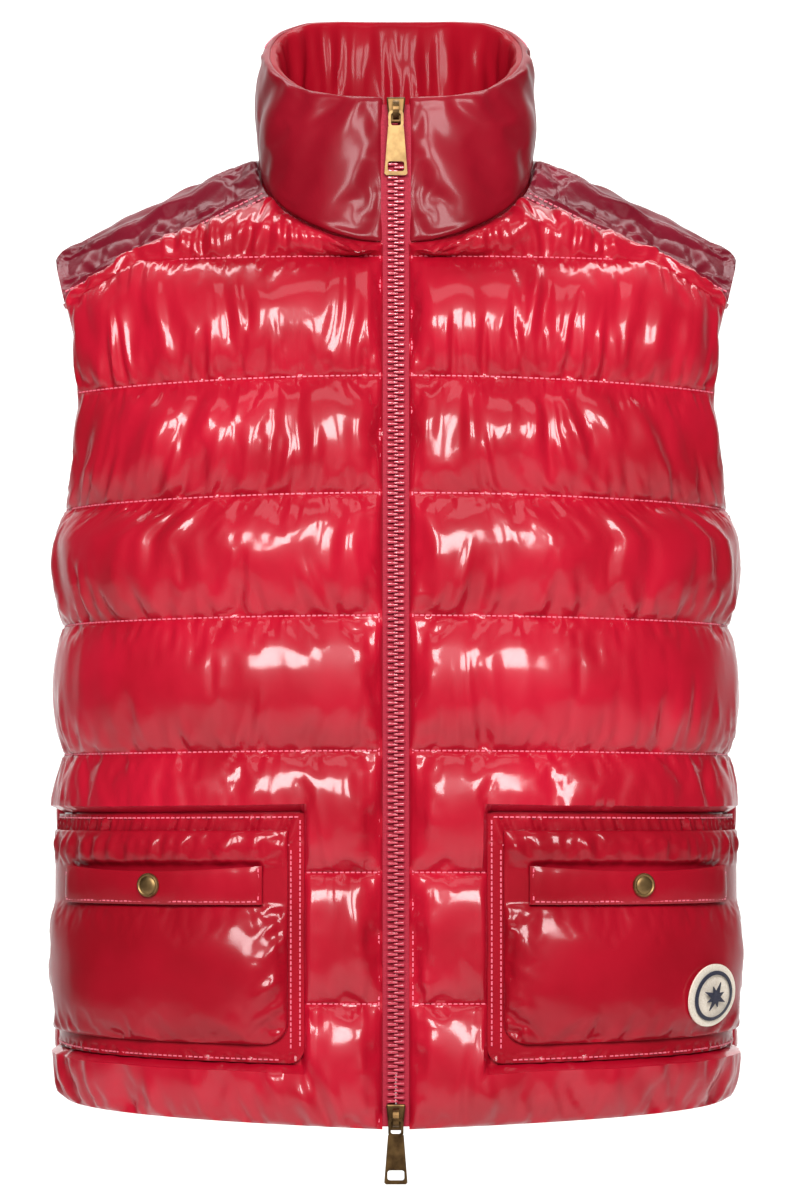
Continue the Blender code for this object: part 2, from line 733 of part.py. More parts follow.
# ---------------------------------------------------------------- the whole vest
def build_vest():
    for old in list(bpy.data.objects):
        bpy.data.objects.remove(old)

    shell = make_material("red_lacquered_nylon", (0.56, 0.012, 0.028), 0.22)
    yoke_cloth = make_material("dull_red_nylon", (0.32, 0.018, 0.035), 0.38)
    tape = make_material("red_zip_tape", (0.36, 0.02, 0.035), 0.7)
    brass = make_material("antique_brass", (0.45, 0.29, 0.14), 0.34, 1.0)
    felt = make_material("cream_felt", (0.80, 0.72, 0.60), 0.9)

    make_back(shell)
    make_collar(shell)
    make_facing(shell)
    for word, side in (("left", 1), ("right", -1)):
        make_front("front_" + word, side, shell)
        make_yoke("yoke_" + word, side, yoke_cloth)
        make_tape("zip_tape_" + word, side, tape)
        make_frame("pocket_frame_" + word, side, shell)
        make_bag("pocket_bag_" + word, side, shell)
        make_welt("pocket_welt_" + word, side, shell)
        make_snap("snap_" + word, side, brass)
    make_badge(felt)
    for word, height in (("top", TOP_SLIDER_HEIGHT), ("bottom", BOTTOM_SLIDER_HEIGHT)):
        make_slider("zip_slider_" + word, height, brass)
        make_pull("zip_pull_" + word, height, brass)


build_vest()
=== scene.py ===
import bpy
import bmesh
import numpy as np
from math import atan2, cos, pi, radians, sin
from mathutils import Matrix, Vector, noise
from mathutils.bvhtree import BVHTree


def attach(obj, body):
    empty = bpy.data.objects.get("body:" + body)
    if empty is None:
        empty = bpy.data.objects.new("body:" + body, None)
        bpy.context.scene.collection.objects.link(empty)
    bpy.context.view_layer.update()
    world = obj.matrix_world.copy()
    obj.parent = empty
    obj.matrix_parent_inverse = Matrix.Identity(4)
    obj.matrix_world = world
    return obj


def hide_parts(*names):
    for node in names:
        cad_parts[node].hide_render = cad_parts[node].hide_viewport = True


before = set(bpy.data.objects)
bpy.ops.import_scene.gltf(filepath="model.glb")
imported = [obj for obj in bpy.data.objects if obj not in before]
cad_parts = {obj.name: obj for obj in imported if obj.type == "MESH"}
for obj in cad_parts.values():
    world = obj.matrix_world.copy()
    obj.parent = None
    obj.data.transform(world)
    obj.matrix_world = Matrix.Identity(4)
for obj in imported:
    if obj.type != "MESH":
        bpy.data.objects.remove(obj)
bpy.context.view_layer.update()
mm = 0.001
print("frame loaded")

# The vest's measures, the same as the solids'. Heights and sizes in mm.
vest = {
    "seamWall": 3.0, "gap": 0.3, "zipEdge": 7.5, "squareness": 2.6,
    "frontPuff": 12.0, "sidePuff": 5.5, "innerPuff": 5.0,
    "sections": {  # height: half width, front depth, back depth
        40: (200, 40, 52), 20: (200, 42, 62), 0: (200, 48, 74), -17: (200, 64, 84),
        -32: (207, 76, 92), -57: (207, 88, 99), -90: (200, 99, 105), -130: (195, 108, 109),
        -165: (191, 114, 111), -200: (192, 118, 112), -260: (191, 121, 113),
        -420: (192, 121, 113), -500: (192, 121, 114)},
    "quilting": ((-37.5, 3), (-106, 8), (-172, 9), (-240.5, 8), (-316, 6), (-384, 4),
                 (-457.5, 0), (-527.5, -11)),  # height at the zip, drop at the side
    "armhole": ((-45, 77), (-80, 74), (-120, 73), (-150, 75), (-168, 78), (-182, 82), (-198, 90)),
    "neck": {"halfWidth": 78.5, "front": 80, "back": 62,
             "rise": ((0, -31), (14, -29.5), (26, -25), (37, -18.5), (49, -9.5), (57, -2), (75, 12),
                      (90, 20), (135, 28), (180, 31))},
    "yokeAngles": (57, 128), "frontCorner": (190.5, -45, -63), "shoulderTip": (197, 2, -38),
    "backCorner": (190.5, 48, -52),
}


# Form: the same surfaces that the solids are made from.
def mix(a, b, share):
    return a + (b - a) * share


sectionHeights = sorted(vest["sections"])
sectionSizes = np.array([vest["sections"][level] for level in sectionHeights], float)


def softTable(xs, ys):
    # smooth curve through a table: linear values blurred over a short reach
    fine = np.linspace(xs[0], xs[-1], 600)
    values = np.interp(fine, xs, ys)
    reach = 15
    kernel = np.hanning(2 * reach + 1)
    before = 2 * values[0] - values[reach:0:-1]
    after = 2 * values[-1] - values[-2:-reach - 2:-1]
    padded = np.concatenate([before, values, after])
    return fine, np.convolve(padded, kernel / kernel.sum(), "valid")


sectionCurves = [softTable(sectionHeights, sectionSizes[:, i]) for i in range(3)]


def sectionAt(z):
    return [np.interp(z / mm, xs, ys) * mm for xs, ys in sectionCurves]


def oval(angle, halfWidth, front, back):
    depth = np.where(np.cos(angle) > 0, front, back)
    power = vest["squareness"]
    reach = (np.abs(np.sin(angle)) / halfWidth) ** power + (np.abs(np.cos(angle)) / depth) ** power
    radius = reach ** (-1 / power)
    return radius * np.sin(angle), -radius * np.cos(angle)


def armholeAngle(z):
    heights, angles = zip(*vest["armhole"][::-1])
    return np.radians(np.interp(z / mm, heights, angles))


def alongSection(share, z, start, end):
    # share of the cloth's length round the body at each height (arrays)
    steps = np.linspace(0, 1, 40)
    angles = start[:, None] + (end - start)[:, None] * steps
    sizes = [size[:, None] for size in sectionAt(z)]
    x, y = oval(angles, *sizes)
    length = np.concatenate([np.zeros((len(z), 1)), np.cumsum(np.hypot(np.diff(x), np.diff(y)), 1)], 1)
    wanted = share * length[:, -1]
    found = np.array([np.interp(w, row, a) for w, row, a in zip(wanted, length, angles)])
    x, y = oval(found, *sectionAt(z))
    return np.stack([x, y, z], 1)


neckRise = softTable(*zip(*vest["neck"]["rise"]))


def neckPoint(degrees):
    neck = vest["neck"]
    x, y = oval(np.radians(degrees), neck["halfWidth"] * mm, neck["front"] * mm, neck["back"] * mm)
    turned = np.abs((np.asarray(degrees) + 180) % 360 - 180)
    return np.stack([x, y, np.interp(turned, *neckRise) * mm], -1)


def topEdge(share, start, yokeAngle, shoulder, neckShare):
    onNeck = neckPoint(mix(start, yokeAngle, np.clip(share / neckShare, 0, 1)))
    beyond = np.clip((share - neckShare) / (1 - neckShare), 0, 1)[:, None]
    onYoke = mix(neckPoint(np.full(len(share), float(yokeAngle))), np.array(shoulder) * mm, beyond)
    return np.where((share < neckShare)[:, None], onNeck, onYoke)


def frontTop(share):
    start = atan2(vest["zipEdge"], vest["neck"]["front"]) * 180 / pi
    return topEdge(share, start, vest["yokeAngles"][0], vest["frontCorner"], 0.40)


def backTop(share):
    return topEdge(share, 180, vest["yokeAngles"][1], vest["backCorner"], 0.37)


def rowHeight(share, row, top, front):
    levels = np.array([0] + [pair[0] for pair in vest["quilting"]], float)
    drops = np.array([0] + [pair[1] for pair in vest["quilting"]], float)
    turned = np.where(row == len(levels) - 1, share, 1 - np.cos(share * pi / 2)) if front else 1.0
    z = (levels[row] - drops[row] * turned) * mm
    return np.where(row == 0, top[:, 2], np.minimum(z, top[:, 2] - 2 * mm * row))


def panelPoint(share, down, front):
    top = (frontTop if front else backTop)(share)
    row = np.minimum(down.astype(int), len(vest["quilting"]) - 1)
    z = mix(rowHeight(share, row, top, front), rowHeight(share, row + 1, top, front), down - row)

    def onSection(level):
        limit = armholeAngle(level) - vest["gap"] * mm / 2 / sectionAt(level)[0]
        if front:
            start = np.arctan2(vest["zipEdge"] * mm, sectionAt(level)[1])
            return alongSection(share, level, start, limit)
        return alongSection(share, level, np.full(len(level), pi), pi - limit)

    hold = np.clip(1 - down / 1.5, 0, 1)[:, None] ** 2
    return onSection(z) + (top - onSection(top[:, 2])) * hold


def yokePoint(u, v):
    neckAngles = vest["yokeAngles"]
    one = np.ones(len(u))
    frontNeck, backNeck = neckPoint(neckAngles[0] * one), neckPoint(neckAngles[1] * one)
    frontTip, backTip = np.array(vest["frontCorner"]) * mm, np.array(vest["backCorner"]) * mm
    tip = np.array(vest["shoulderTip"]) * mm
    u, v = u[:, None], v[:, None]
    neck = neckPoint(mix(neckAngles[0], neckAngles[1], v[:, 0]))
    pull = 2 * tip - 0.5 * (frontTip + backTip)
    arm = mix(mix(frontTip, pull, v), mix(pull, backTip, v), v)
    corners = mix(mix(frontNeck, backNeck, v), mix(frontTip, backTip, v), u)
    return mix(mix(frontNeck, frontTip, u), mix(backNeck, backTip, u), v) + mix(neck, arm, u) - corners


collarSizes = {"halfWidth": 76, "front": 71, "back": 64, "flare": 0.7, "clear": 0.9,
               "puff": 3.2, "inPuff": 3.0, "facingWall": 2.5, "facingRise": 1.8, "facingTuck": 0.006,
               "around": 470, "aroundInside": 440, "tall": 85,
               "rise": ((0, 53), (25, 54.5), (41, 58.5), (54, 66), (70, 76), (90, 86), (109, 95.5),
                        (121, 103), (135, 108.5), (150, 110), (180, 110))}
rimRise = softTable(*zip(*collarSizes["rise"]))


def collarPoint(u, v):
    def turn(depth):
        start = atan2(vest["zipEdge"], depth) * 180 / pi
        return mix(start, 360 - start, u)

    low = neckPoint(turn(vest["neck"]["front"]))
    low[:, 2] += collarSizes["clear"] * mm
    degrees = turn(collarSizes["front"])
    sizes = [collarSizes[key] * mm for key in ("halfWidth", "front", "back")]
    x, y = oval(np.radians(degrees), *sizes)
    z = np.interp(np.minimum(degrees, 360 - degrees), *rimRise) * mm
    high = np.stack([x, y, z], 1)
    share = mix(v, v * (2 - v), collarSizes["flare"])[:, None]
    place = mix(low, high, share)
    place[:, 2] = mix(low[:, 2], high[:, 2], v)
    return place


def swell(share):
    return np.maximum(0, np.sin(pi * np.clip(share, 0, 1))) ** 0.62


def easeIn(distance, width):
    return swell(0.5 * np.clip(distance / width, 0, 1))


def lifted(surface, u, v, height, level=False):
    step = 1e-3
    here = surface(u, v)
    across = surface(u + step, v) - surface(u - step, v)
    along = surface(u, v + step) - surface(u, v - step)
    normal = np.cross(across, along)
    if level:
        normal[:, 2] = 0
    normal /= np.linalg.norm(normal, axis=1, keepdims=True)
    outward = here.copy()
    outward[:, 2] = 0.05
    normal *= np.sign((normal * outward).sum(1))[:, None]
    return here + normal * np.reshape(height, (-1, 1)), normal


def frontSurface(u, v):
    return panelPoint(np.clip(u, 0, 1), np.clip(v, 0, 8), True)


def backSurface(u, v):
    # u runs from -1 to 1 across the whole back
    place = panelPoint(np.clip(np.abs(u), 0, 1), np.clip(v, 0, 8), False)
    place[:, 0] *= np.where(u < 0, -1, 1)
    return place


# Materials.
def linear(hexColour):
    parts = [int(hexColour[i:i + 2], 16) / 255 for i in (0, 2, 4)]
    return [p / 12.92 if p <= 0.04045 else ((p + 0.055) / 1.055) ** 2.4 for p in parts] + [1.0]


def addNode(tree, kind, settings={}, inputs={}, links={}):
    node = tree.nodes.new(kind)
    for key, value in settings.items():
        setattr(node, key, value)
    for key, value in inputs.items():
        node.inputs[key].default_value = value
    for key, socket in links.items():
        tree.links.new(socket, node.inputs[key])
    return node


def setRamp(node, stops):
    ramp = node.color_ramp
    while len(ramp.elements) < len(stops):
        ramp.elements.new(0.5)
    for element, (place, colour) in zip(ramp.elements, stops):
        element.position = place
        element.color = colour


def newMaterial(name, sockets):
    material = bpy.data.materials.new(name)
    material.use_nodes = True
    shader = material.node_tree.nodes["Principled BSDF"]
    for key, value in sockets.items():
        shader.inputs[key].default_value = value
    return material, material.node_tree, shader


def lacqueredNylon(name, deep, main, gloss):
    # thin nylon taffeta under a clear lacquer: a clean deep red, with wet highlights on its folds
    material, tree, shader = newMaterial(name, {
        "Roughness": gloss["rough"], "Specular IOR Level": gloss["specular"], "IOR": 1.5,
        "Coat Weight": gloss["coat"], "Coat Roughness": gloss["coatRough"], "Coat IOR": 1.5})
    where = addNode(tree, "ShaderNodeTexCoord").outputs["Object"]
    cloud = addNode(tree, "ShaderNodeTexNoise", {}, {"Scale": 18.0, "Detail": 3.0}, {"Vector": where})
    ramp = addNode(tree, "ShaderNodeValToRGB", links={"Fac": cloud.outputs["Fac"]})
    setRamp(ramp, [(0.3, linear(deep)), (0.75, linear(main))])
    tree.links.new(ramp.outputs["Color"], shader.inputs["Base Color"])
    # small crinkles, longer down the channel than along it
    squeeze = addNode(tree, "ShaderNodeMapping", {}, {"Scale": (1.0, 1.0, 0.45)}, {"Vector": where})
    folds = addNode(tree, "ShaderNodeTexNoise", {}, {
        "Scale": 1000 / gloss["crinkleMm"], "Detail": 3.0, "Roughness": 0.5, "Distortion": 0.4},
        {"Vector": squeeze.outputs["Vector"]})
    # the taffeta's threads are 0.1 mm apart, drawn at 0.7 mm so that they show
    weave = addNode(tree, "ShaderNodeTexNoise", {}, {"Scale": 1400.0, "Detail": 1.0}, {"Vector": where})
    big = addNode(tree, "ShaderNodeBump", {}, {"Strength": gloss["crinkle"], "Distance": 0.0012},
                  {"Height": folds.outputs["Fac"]})
    fine = addNode(tree, "ShaderNodeBump", {}, {"Strength": 0.05, "Distance": 0.0001},
                   {"Height": weave.outputs["Fac"], "Normal": big.outputs["Normal"]})
    tree.links.new(fine.outputs["Normal"], shader.inputs["Normal"])
    return material


def plainCloth(name, deep, main, roughness, threadMm, depth):
    # a matt woven tape or felt: no gloss, threads just visible
    material, tree, shader = newMaterial(name, {"Roughness": roughness, "Specular IOR Level": 0.25,
                                                "Sheen Weight": 0.1})
    where = addNode(tree, "ShaderNodeTexCoord").outputs["Object"]
    threads = addNode(tree, "ShaderNodeTexNoise", {}, {"Scale": 1000 / threadMm, "Detail": 2.0},
                      {"Vector": where})
    ramp = addNode(tree, "ShaderNodeValToRGB", links={"Fac": threads.outputs["Fac"]})
    setRamp(ramp, [(0.3, linear(deep)), (0.7, linear(main))])
    bump = addNode(tree, "ShaderNodeBump", {}, {"Strength": depth, "Distance": 0.0004},
                   {"Height": threads.outputs["Fac"]})
    tree.links.new(ramp.outputs["Color"], shader.inputs["Base Color"])
    tree.links.new(bump.outputs["Normal"], shader.inputs["Normal"])
    return material


def rubbedBrass(name, bright, dark, roughness):
    # die-cast zinc, brass plated and rubbed back: brown in the hollows, gold where it is handled
    material, tree, shader = newMaterial(name, {"Metallic": 1.0, "Roughness": roughness})
    where = addNode(tree, "ShaderNodeTexCoord").outputs["Object"]
    stain = addNode(tree, "ShaderNodeTexNoise", {}, {"Scale": 160.0, "Detail": 3.0}, {"Vector": where})
    ramp = addNode(tree, "ShaderNodeValToRGB", links={"Fac": stain.outputs["Fac"]})
    setRamp(ramp, [(0.3, linear(dark)), (0.62, linear(bright))])
    grain = addNode(tree, "ShaderNodeTexNoise", {}, {"Scale": 1500.0, "Detail": 2.0}, {"Vector": where})
    bump = addNode(tree, "ShaderNodeBump", {}, {"Strength": 0.06, "Distance": 0.0001},
                   {"Height": grain.outputs["Fac"]})
    tree.links.new(ramp.outputs["Color"], shader.inputs["Base Color"])
    tree.links.new(bump.outputs["Normal"], shader.inputs["Normal"])
    return material


shellGloss = {"rough": 0.42, "specular": 0.18, "coat": 0.6, "coatRough": 0.13,
              "crinkle": 0.10, "crinkleMm": 12}
pocketGloss = dict(shellGloss, specular=0.08, coat=0.45)
collarGloss = dict(shellGloss, specular=0.1, coat=0.18, coatRough=0.18)
facingGloss = dict(shellGloss, specular=0.04, coat=0.12, coatRough=0.14)
yokeGloss = dict(shellGloss, specular=0.06, coat=0.22, coatRough=0.2, crinkle=0.35, crinkleMm=6)
shellNylon = lacqueredNylon("lacqueredRedNylon", "9E081E", "B80C2A", shellGloss)
pocketNylon = lacqueredNylon("pocketRedNylon", "8A0818", "A20C22", pocketGloss)
yokeNylon = lacqueredNylon("dullRedNylon", "5E0A1A", "7A1428", yokeGloss)
collarNylon = lacqueredNylon("collarRedNylon", "780818", "8C0E20", collarGloss)
facingNylon = lacqueredNylon("facingRedNylon", "880818", "A00C20", facingGloss)
zipTape = plainCloth("wovenZipTape", "8E1428", "A82038", 0.7, 0.8, 0.5)
# the seam thread is painted pale pink, lighter than the shell's red: the stitches' glints are a painted
# highlight laid into the thread's colour
threadAndPaintedHighlight = plainCloth("polyesterThreadPaintedHighlight", "D04A62", "EC7A8C", 0.4, 0.3, 0.3)
# moulded acetal: a satin plastic with small bright edges
mouldedAcetal = newMaterial("mouldedRedTeeth", {
    "Roughness": 0.26, "Base Color": linear("B43246"), "Coat Weight": 0.5})[0]
brass = rubbedBrass("rubbedBrass", "94784F", "705638", 0.48)
darkBrass = rubbedBrass("darkRubbedBrass", "6E5434", "42301E", 0.42)
creamFelt = plainCloth("creamFelt", "E0D0BC", "F2E8DA", 0.95, 0.9, 0.6)
navyThread = plainCloth("navyEmbroidery", "1A1C2C", "2A2C44", 0.6, 0.5, 0.8)
print("materials made")


# Making pieces.
def finish(name, bm, material, stands=(), body="vest", smooth=60):
    bmesh.ops.remove_doubles(bm, verts=bm.verts[:], dist=1e-6)
    bmesh.ops.recalc_face_normals(bm, faces=bm.faces[:])
    mesh = bpy.data.meshes.new(name)
    bm.to_mesh(mesh)
    bm.free()
    mesh.materials.append(material)
    mesh.shade_smooth()
    mesh.set_sharp_from_angle(angle=radians(smooth))
    piece = bpy.data.objects.new(name, mesh)
    bpy.context.scene.collection.objects.link(piece)
    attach(piece, body)
    if stands:
        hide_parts(*stands)
    return piece


def gridSheet(columns, rows):
    # a flat sheet, where each vertex lies on it (0 to 1 both ways), and their order row by row
    bm = bmesh.new()
    bmesh.ops.create_grid(bm, x_segments=columns, y_segments=rows, size=0.5)
    where = np.array([vert.co[:2] for vert in bm.verts]) + 0.5
    order = np.lexsort(np.round(where, 5).T)
    return bm, where, order


def finer(values, count):
    # a smooth curve through each row's values, read at more places
    last = values.shape[1] - 1
    place = np.linspace(0, last, count + 1)
    low = np.clip(place.astype(int), 0, last - 1)
    t = (place - low)[None, :, None]
    a, b, c, d = (values[:, np.clip(low + step, 0, last)] for step in (-1, 0, 1, 2))
    return b + 0.5 * t * (c - a + t * (2 * a - 5 * b + 4 * c - d + t * (3 * (b - c) + d - a)))


clothFill = {"quality": 4, "mass": 0.08, "tension_stiffness": 18, "compression_stiffness": 18,
             "shear_stiffness": 6, "tension_damping": 8, "compression_damping": 8, "shear_damping": 8,
             "air_damping": 3, "pin_stiffness": 1, "use_pressure": True}


def fillCloth(bm, points, pins, name, pressure, slack, frames, cap, bending=0.6):
    # down-filled cloth between pinned seams: extra cloth and pressure make its puckers
    mesh = bpy.data.meshes.new(name + "Sim")
    for vert, point in zip(bm.verts, points):
        vert.co = point
    bm.to_mesh(mesh)
    piece = bpy.data.objects.new(name + "Sim", mesh)
    bpy.context.scene.collection.objects.link(piece)
    group = piece.vertex_groups.new(name="seams")
    for index, weight in enumerate(pins):
        if weight > 0:
            group.add([index], float(weight), "REPLACE")
    cloth = piece.modifiers.new("Fill", "CLOTH")
    settings = cloth.settings
    settings.vertex_group_mass = "seams"
    for key, value in clothFill.items():
        setattr(settings, key, value)
    settings.bending_stiffness = bending
    settings.uniform_pressure_force = pressure
    settings.shrink_min = -slack
    settings.effector_weights.gravity = 0
    cloth.collision_settings.use_collision = False
    cloth.point_cache.frame_start = 1
    cloth.point_cache.frame_end = frames
    scene = bpy.context.scene
    for step in range(1, frames + 1):
        scene.frame_set(step)
    graph = bpy.context.evaluated_depsgraph_get()
    made = piece.evaluated_get(graph).to_mesh()
    moved = np.empty(len(made.vertices) * 3)
    made.vertices.foreach_get("co", moved)
    moved = moved.reshape(-1, 3)
    piece.evaluated_get(graph).to_mesh_clear()
    bpy.data.objects.remove(piece)
    scene.frame_set(1)
    travel = moved - points
    length = np.linalg.norm(travel, axis=1, keepdims=True)
    moved = points + travel * np.minimum(1, cap / np.maximum(length, 1e-9))
    print("filled", name, "moved up to", round(float(length.max()) / mm, 1), "mm")
    return moved


def closeWall(bm, outer, inner):
    # gives a sheet its inner side and its edges
    bm.verts.index_update()
    for vert, point in zip(bm.verts, outer):
        vert.co = point
    order = bm.verts.layers.int.new("order")
    for vert in bm.verts:
        vert[order] = vert.index
    old = set(bm.verts)
    bmesh.ops.extrude_face_region(bm, geom=bm.faces[:])
    bm.verts.ensure_lookup_table()
    for vert in bm.verts:
        if vert not in old:
            vert.co = inner[vert[order]]


def wobble(points, size, seed):
    return np.array([noise.noise(Vector(point) / size + Vector((seed, seed * 1.7, 0))) for point in points])


def subdivide(piece, levels):
    modifier = piece.modifiers.new("Finer", "SUBSURF")
    modifier.levels = modifier.render_levels = levels


panelLook = {"pressure": 5.0, "slack": 0.015, "frames": 14, "cap": 5, "startPuff": 0.9,
             "pocketFrom": 0.165, "pocketFlat": (5.45, 7.55), "rowsPerChannel": 20, "crowding": 0.55,
             "frontWidth": 262, "backWidth": 300,  # along the cloth from the middle, in mm
             "seeds": {"front_left": 3.1, "front_right": 7.7, "back": 12.9}}
# folds in mm: their width, how far they stand and how far they run from the seam
foldLook = {"tuft": (4.5, 4.2, 18), "claw": (8, 5.2, 42), "drape": (17, 3.6), "zip": (6, 3.2, 20)}
drapeOfRow = (0.9, 1.0, 1.0, 0.8, 0.2, 0.45, 0.6, 0.5)  # how unevenly each channel is filled


def panelSwell(share, down, front):
    edges = easeIn(1 - np.abs(share), 0.05)
    if front:
        edges = edges * easeIn(share, 0.07)
        low, high = panelLook["pocketFlat"]
        flat = (share > panelLook["pocketFrom"]) & (down > low) & (down < high)
        edges = np.where(flat, 0, edges)
    return swell(down % 1) * edges


def crease(x, y, z, seed):
    # uneven waves from -1 to 1 over three measures, each counted in fold widths
    return 1.6 * wobble(np.stack(np.broadcast_arrays(x, y, z), 1), 1.0, seed)


def channelFolds(seam, u, v, front, seed):
    # short tufts under each seam, longer claws over the next one, soft drapes between them
    row = np.minimum(v.astype(int), 7)
    share = np.abs(np.clip(u, -1, 1))
    top = (frontTop if front else backTop)(share)
    tall = (rowHeight(share, row, top, front) - rowHeight(share, row + 1, top, front)) / mm
    below = (v - row) * tall
    above = tall - below
    along = u * (panelLook["frontWidth"] if front else panelLook["backWidth"])
    lean = 0.5 * crease(along / 55, row * 3.1, 0, seed + 1)
    width, depth, reach = foldLook["tuft"]
    ends = reach * (0.35 + np.abs(crease(along / 14, row * 2.3, 0, seed + 2)))
    tuft = np.abs(crease((along + lean * below) / width, row * 5.3, below / 40, seed)) - 0.35
    folds = depth * tuft * np.clip(1 - below / ends, 0, 1) ** 1.4
    width, depth, reach = foldLook["claw"]
    ends = reach * (0.3 + np.abs(crease(along / 24, row * 2.9, 0, seed + 4)))
    claw = crease((along - 1.4 * lean * above) / width, row * 4.7, above / 60, seed + 3)
    folds += depth * claw * np.clip(1 - above / ends, 0, 1) ** 1.2
    width, depth = foldLook["drape"]
    drape = crease((along + lean * above) / width, row * 6.1, below / 70, seed + 5)
    folds += depth * drape * np.array(drapeOfRow)[row] * np.sin(pi * np.clip(v - row, 0, 1))
    width, depth, reach = foldLook["zip"]
    pulled = crease(seam[:, 2] / mm / width + along / 30, 0, 0, seed + 6)
    folds += depth * pulled * np.clip(1 - np.abs(along) / reach, 0, 1) * front
    return folds * np.clip(tall / 28, 0.25, 1) * np.clip((1 - share) / 0.1, 0, 1)


def makePanel(name, side, front, coarse, columns):
    surface = frontSurface if front else backSurface
    rows = panelLook["rowsPerChannel"] * 8
    reach = vest["frontPuff"], vest["sidePuff"]

    def places(where):
        counted = 8 * (1 - where[:, 1])
        row = np.floor(counted + 1e-5)
        part = np.clip(counted - row, 0, 1)
        crowded = mix(part, (1 - np.cos(pi * part)) / 2, panelLook["crowding"])
        return where[:, 0] if front else where[:, 0] * 2 - 1, row + crowded

    bm, where, order = gridSheet(coarse, rows)
    u, v = places(where)
    puff = panelSwell(u, v, front)
    height = mix(*reach, np.abs(u) ** 3) * puff * panelLook["startPuff"] * mm
    seam, normal = lifted(surface, u, v, 0 * u)
    points = seam + normal * height[:, None]
    onEdge = (np.abs(u) > 1 - 1e-4) | (front & (u < 1e-4))
    pins = np.where((puff < 1e-3) | onEdge, 1.0, 0.0)
    filled = fillCloth(bm, points, pins, name, panelLook["pressure"], panelLook["slack"],
                       panelLook["frames"], panelLook["cap"] * mm)
    bm.free()
    rise = finer((filled - seam)[order].reshape(rows + 1, coarse + 1, 3), columns).reshape(-1, 3)

    bm, where, order = gridSheet(columns, rows)
    u, v = places(where)
    puff = panelSwell(u, v, front)
    seam, normal = lifted(surface, u, v, 0 * u)
    seed = panelLook["seeds"][name]
    outer = seam + normal * (channelFolds(seam, u, v, front, seed) * mm * puff ** 0.6)[:, None]
    outer[order] += rise
    inner = seam - normal * ((vest["seamWall"] + vest["innerPuff"] * puff) * mm)[:, None]
    for array in (outer, inner):
        array[:, 0] *= side
    closeWall(bm, outer, inner)
    piece = finish(name + "_cloth", bm, shellNylon, (name,))


for word, side in (("left", 1), ("right", -1)):
    makePanel("front_" + word, side, True, 68, 150)
makePanel("back", 1, False, 90, 200)
print("fronts and back filled")


# Yokes, collar and facing.
def makePadded(name, surface, columns, rows, heightOf, depthOf, material, pins, insets, side=1,
               level=False, slack=0.015, sim=True, levels=1, folds=None, inFolds=None):
    bm, where, _ = gridSheet(columns, rows)
    u, v = mix(insets, 1 - insets, where[:, 0]), mix(insets, 1 - insets, where[:, 1])
    outer, normal = lifted(surface, u, v, heightOf(u, v) * mm, level)
    if sim:
        outer = fillCloth(bm, outer, pins(where[:, 0], where[:, 1]), name, 4, slack, 14, 4 * mm,
                          bending=1.5)
    inner = lifted(surface, u, v, -depthOf(u, v) * mm, level)[0]
    if folds:
        outer = outer + normal * (folds(u, v) * mm)[:, None]
    if inFolds:
        inner = inner + normal * (inFolds(u, v) * mm)[:, None]
    for array in (outer, inner):
        array[:, 0] *= side
    closeWall(bm, outer, inner)
    piece = finish(name + "_cloth", bm, material, (name,))
    if levels:
        subdivide(piece, levels)


def edgePins(u, v):
    return np.where((u < 1e-3) | (u > 1 - 1e-3) | (v < 1e-3) | (v > 1 - 1e-3), 1.0, 0.0)


yokeLook = {"puff": 7.0, "inPuff": 2.0, "band": 0.085, "length": 125, "width": 100}  # the last two in mm


def yokeHeight(u, v):
    band = yokeLook["band"]
    inner = np.clip((v - band) / (1 - 2 * band), 0, 1)
    return yokeLook["puff"] * swell(inner) * easeIn(u, 0.12) * easeIn(1 - u, 0.12) + 0.3


def yokeDepth(u, v):
    return vest["seamWall"] + yokeLook["inPuff"] * swell(v) * easeIn(u, 0.15) * easeIn(1 - u, 0.15)


def yokePins(u, v):
    flat = (v < yokeLook["band"]) | (v > 1 - yokeLook["band"])
    return np.where(flat, 1.0, edgePins(u, v))


def yokeFolds(u, v):
    # crinkles across the topstitched bands, slanting creases over the filled part
    band = yokeLook["band"]
    along, across = u * yokeLook["length"], v * yokeLook["width"]
    edge = np.minimum(v, 1 - v)
    inBand = np.clip(np.minimum(edge, band - edge) / (band / 4), 0, 1)
    crinkle = 0.9 * np.abs(crease(along / 3.0, across / 9, 0, 21.0)) * inBand
    rises = np.clip((edge - band) / 0.05, 0, 1)
    slant = 1.3 * crease((along + 0.6 * across) / 14, across / 45, 0, 22.0)
    short = 1.5 * crease((along - 0.25 * across) / 5, across / 16, 0, 23.0)
    ends = easeIn(u, 0.05) * easeIn(1 - u, 0.05)
    return (crinkle + (slant + short * np.clip(1.5 - edge * 5, 0, 1)) * rises) * ends


for word, side in (("left", 1), ("right", -1)):
    makePadded("yoke_" + word, yokePoint, 110, 84, yokeHeight, yokeDepth, yokeNylon, yokePins,
               0.009, side, levels=0, folds=yokeFolds)


def zipEdges(u):
    return easeIn(u, 0.03) * easeIn(1 - u, 0.03)


def collarEdges(u, v):
    return swell(v) * easeIn(u, 0.03) * easeIn(1 - u, 0.03)


def collarFolds(u, v):
    # long soft folds round the neck, creases that fan out from the zip, puckers at the neck seam
    along, up = u * collarSizes["around"], v * collarSizes["tall"]
    nearZip = np.clip(1 - np.minimum(u, 1 - u) / 0.14, 0, 1)
    leaning = np.where(u < 0.5, 1, -1)
    soft = 2.6 * crease((along + 0.5 * leaning * up) / 34, up / 60, 0, 31.0)
    fan = 1.0 * crease((up + 0.9 * leaning * along) / 12, along / 50, 0, 32.0) * nearZip
    seam = 1.3 * crease(along / 8, up / 30, 0, 33.0) * np.clip(1 - v / 0.22, 0, 1)
    fromRim = np.clip((v - 0.62) / 0.38, 0, 1)
    rim = 2.2 * crease((along + 0.4 * leaning * up) / 11, up / 40, 0, 34.0) * fromRim
    return (soft + fan + seam) * collarEdges(u, v) + rim * zipEdges(u) * easeIn(1 - v, 0.05)


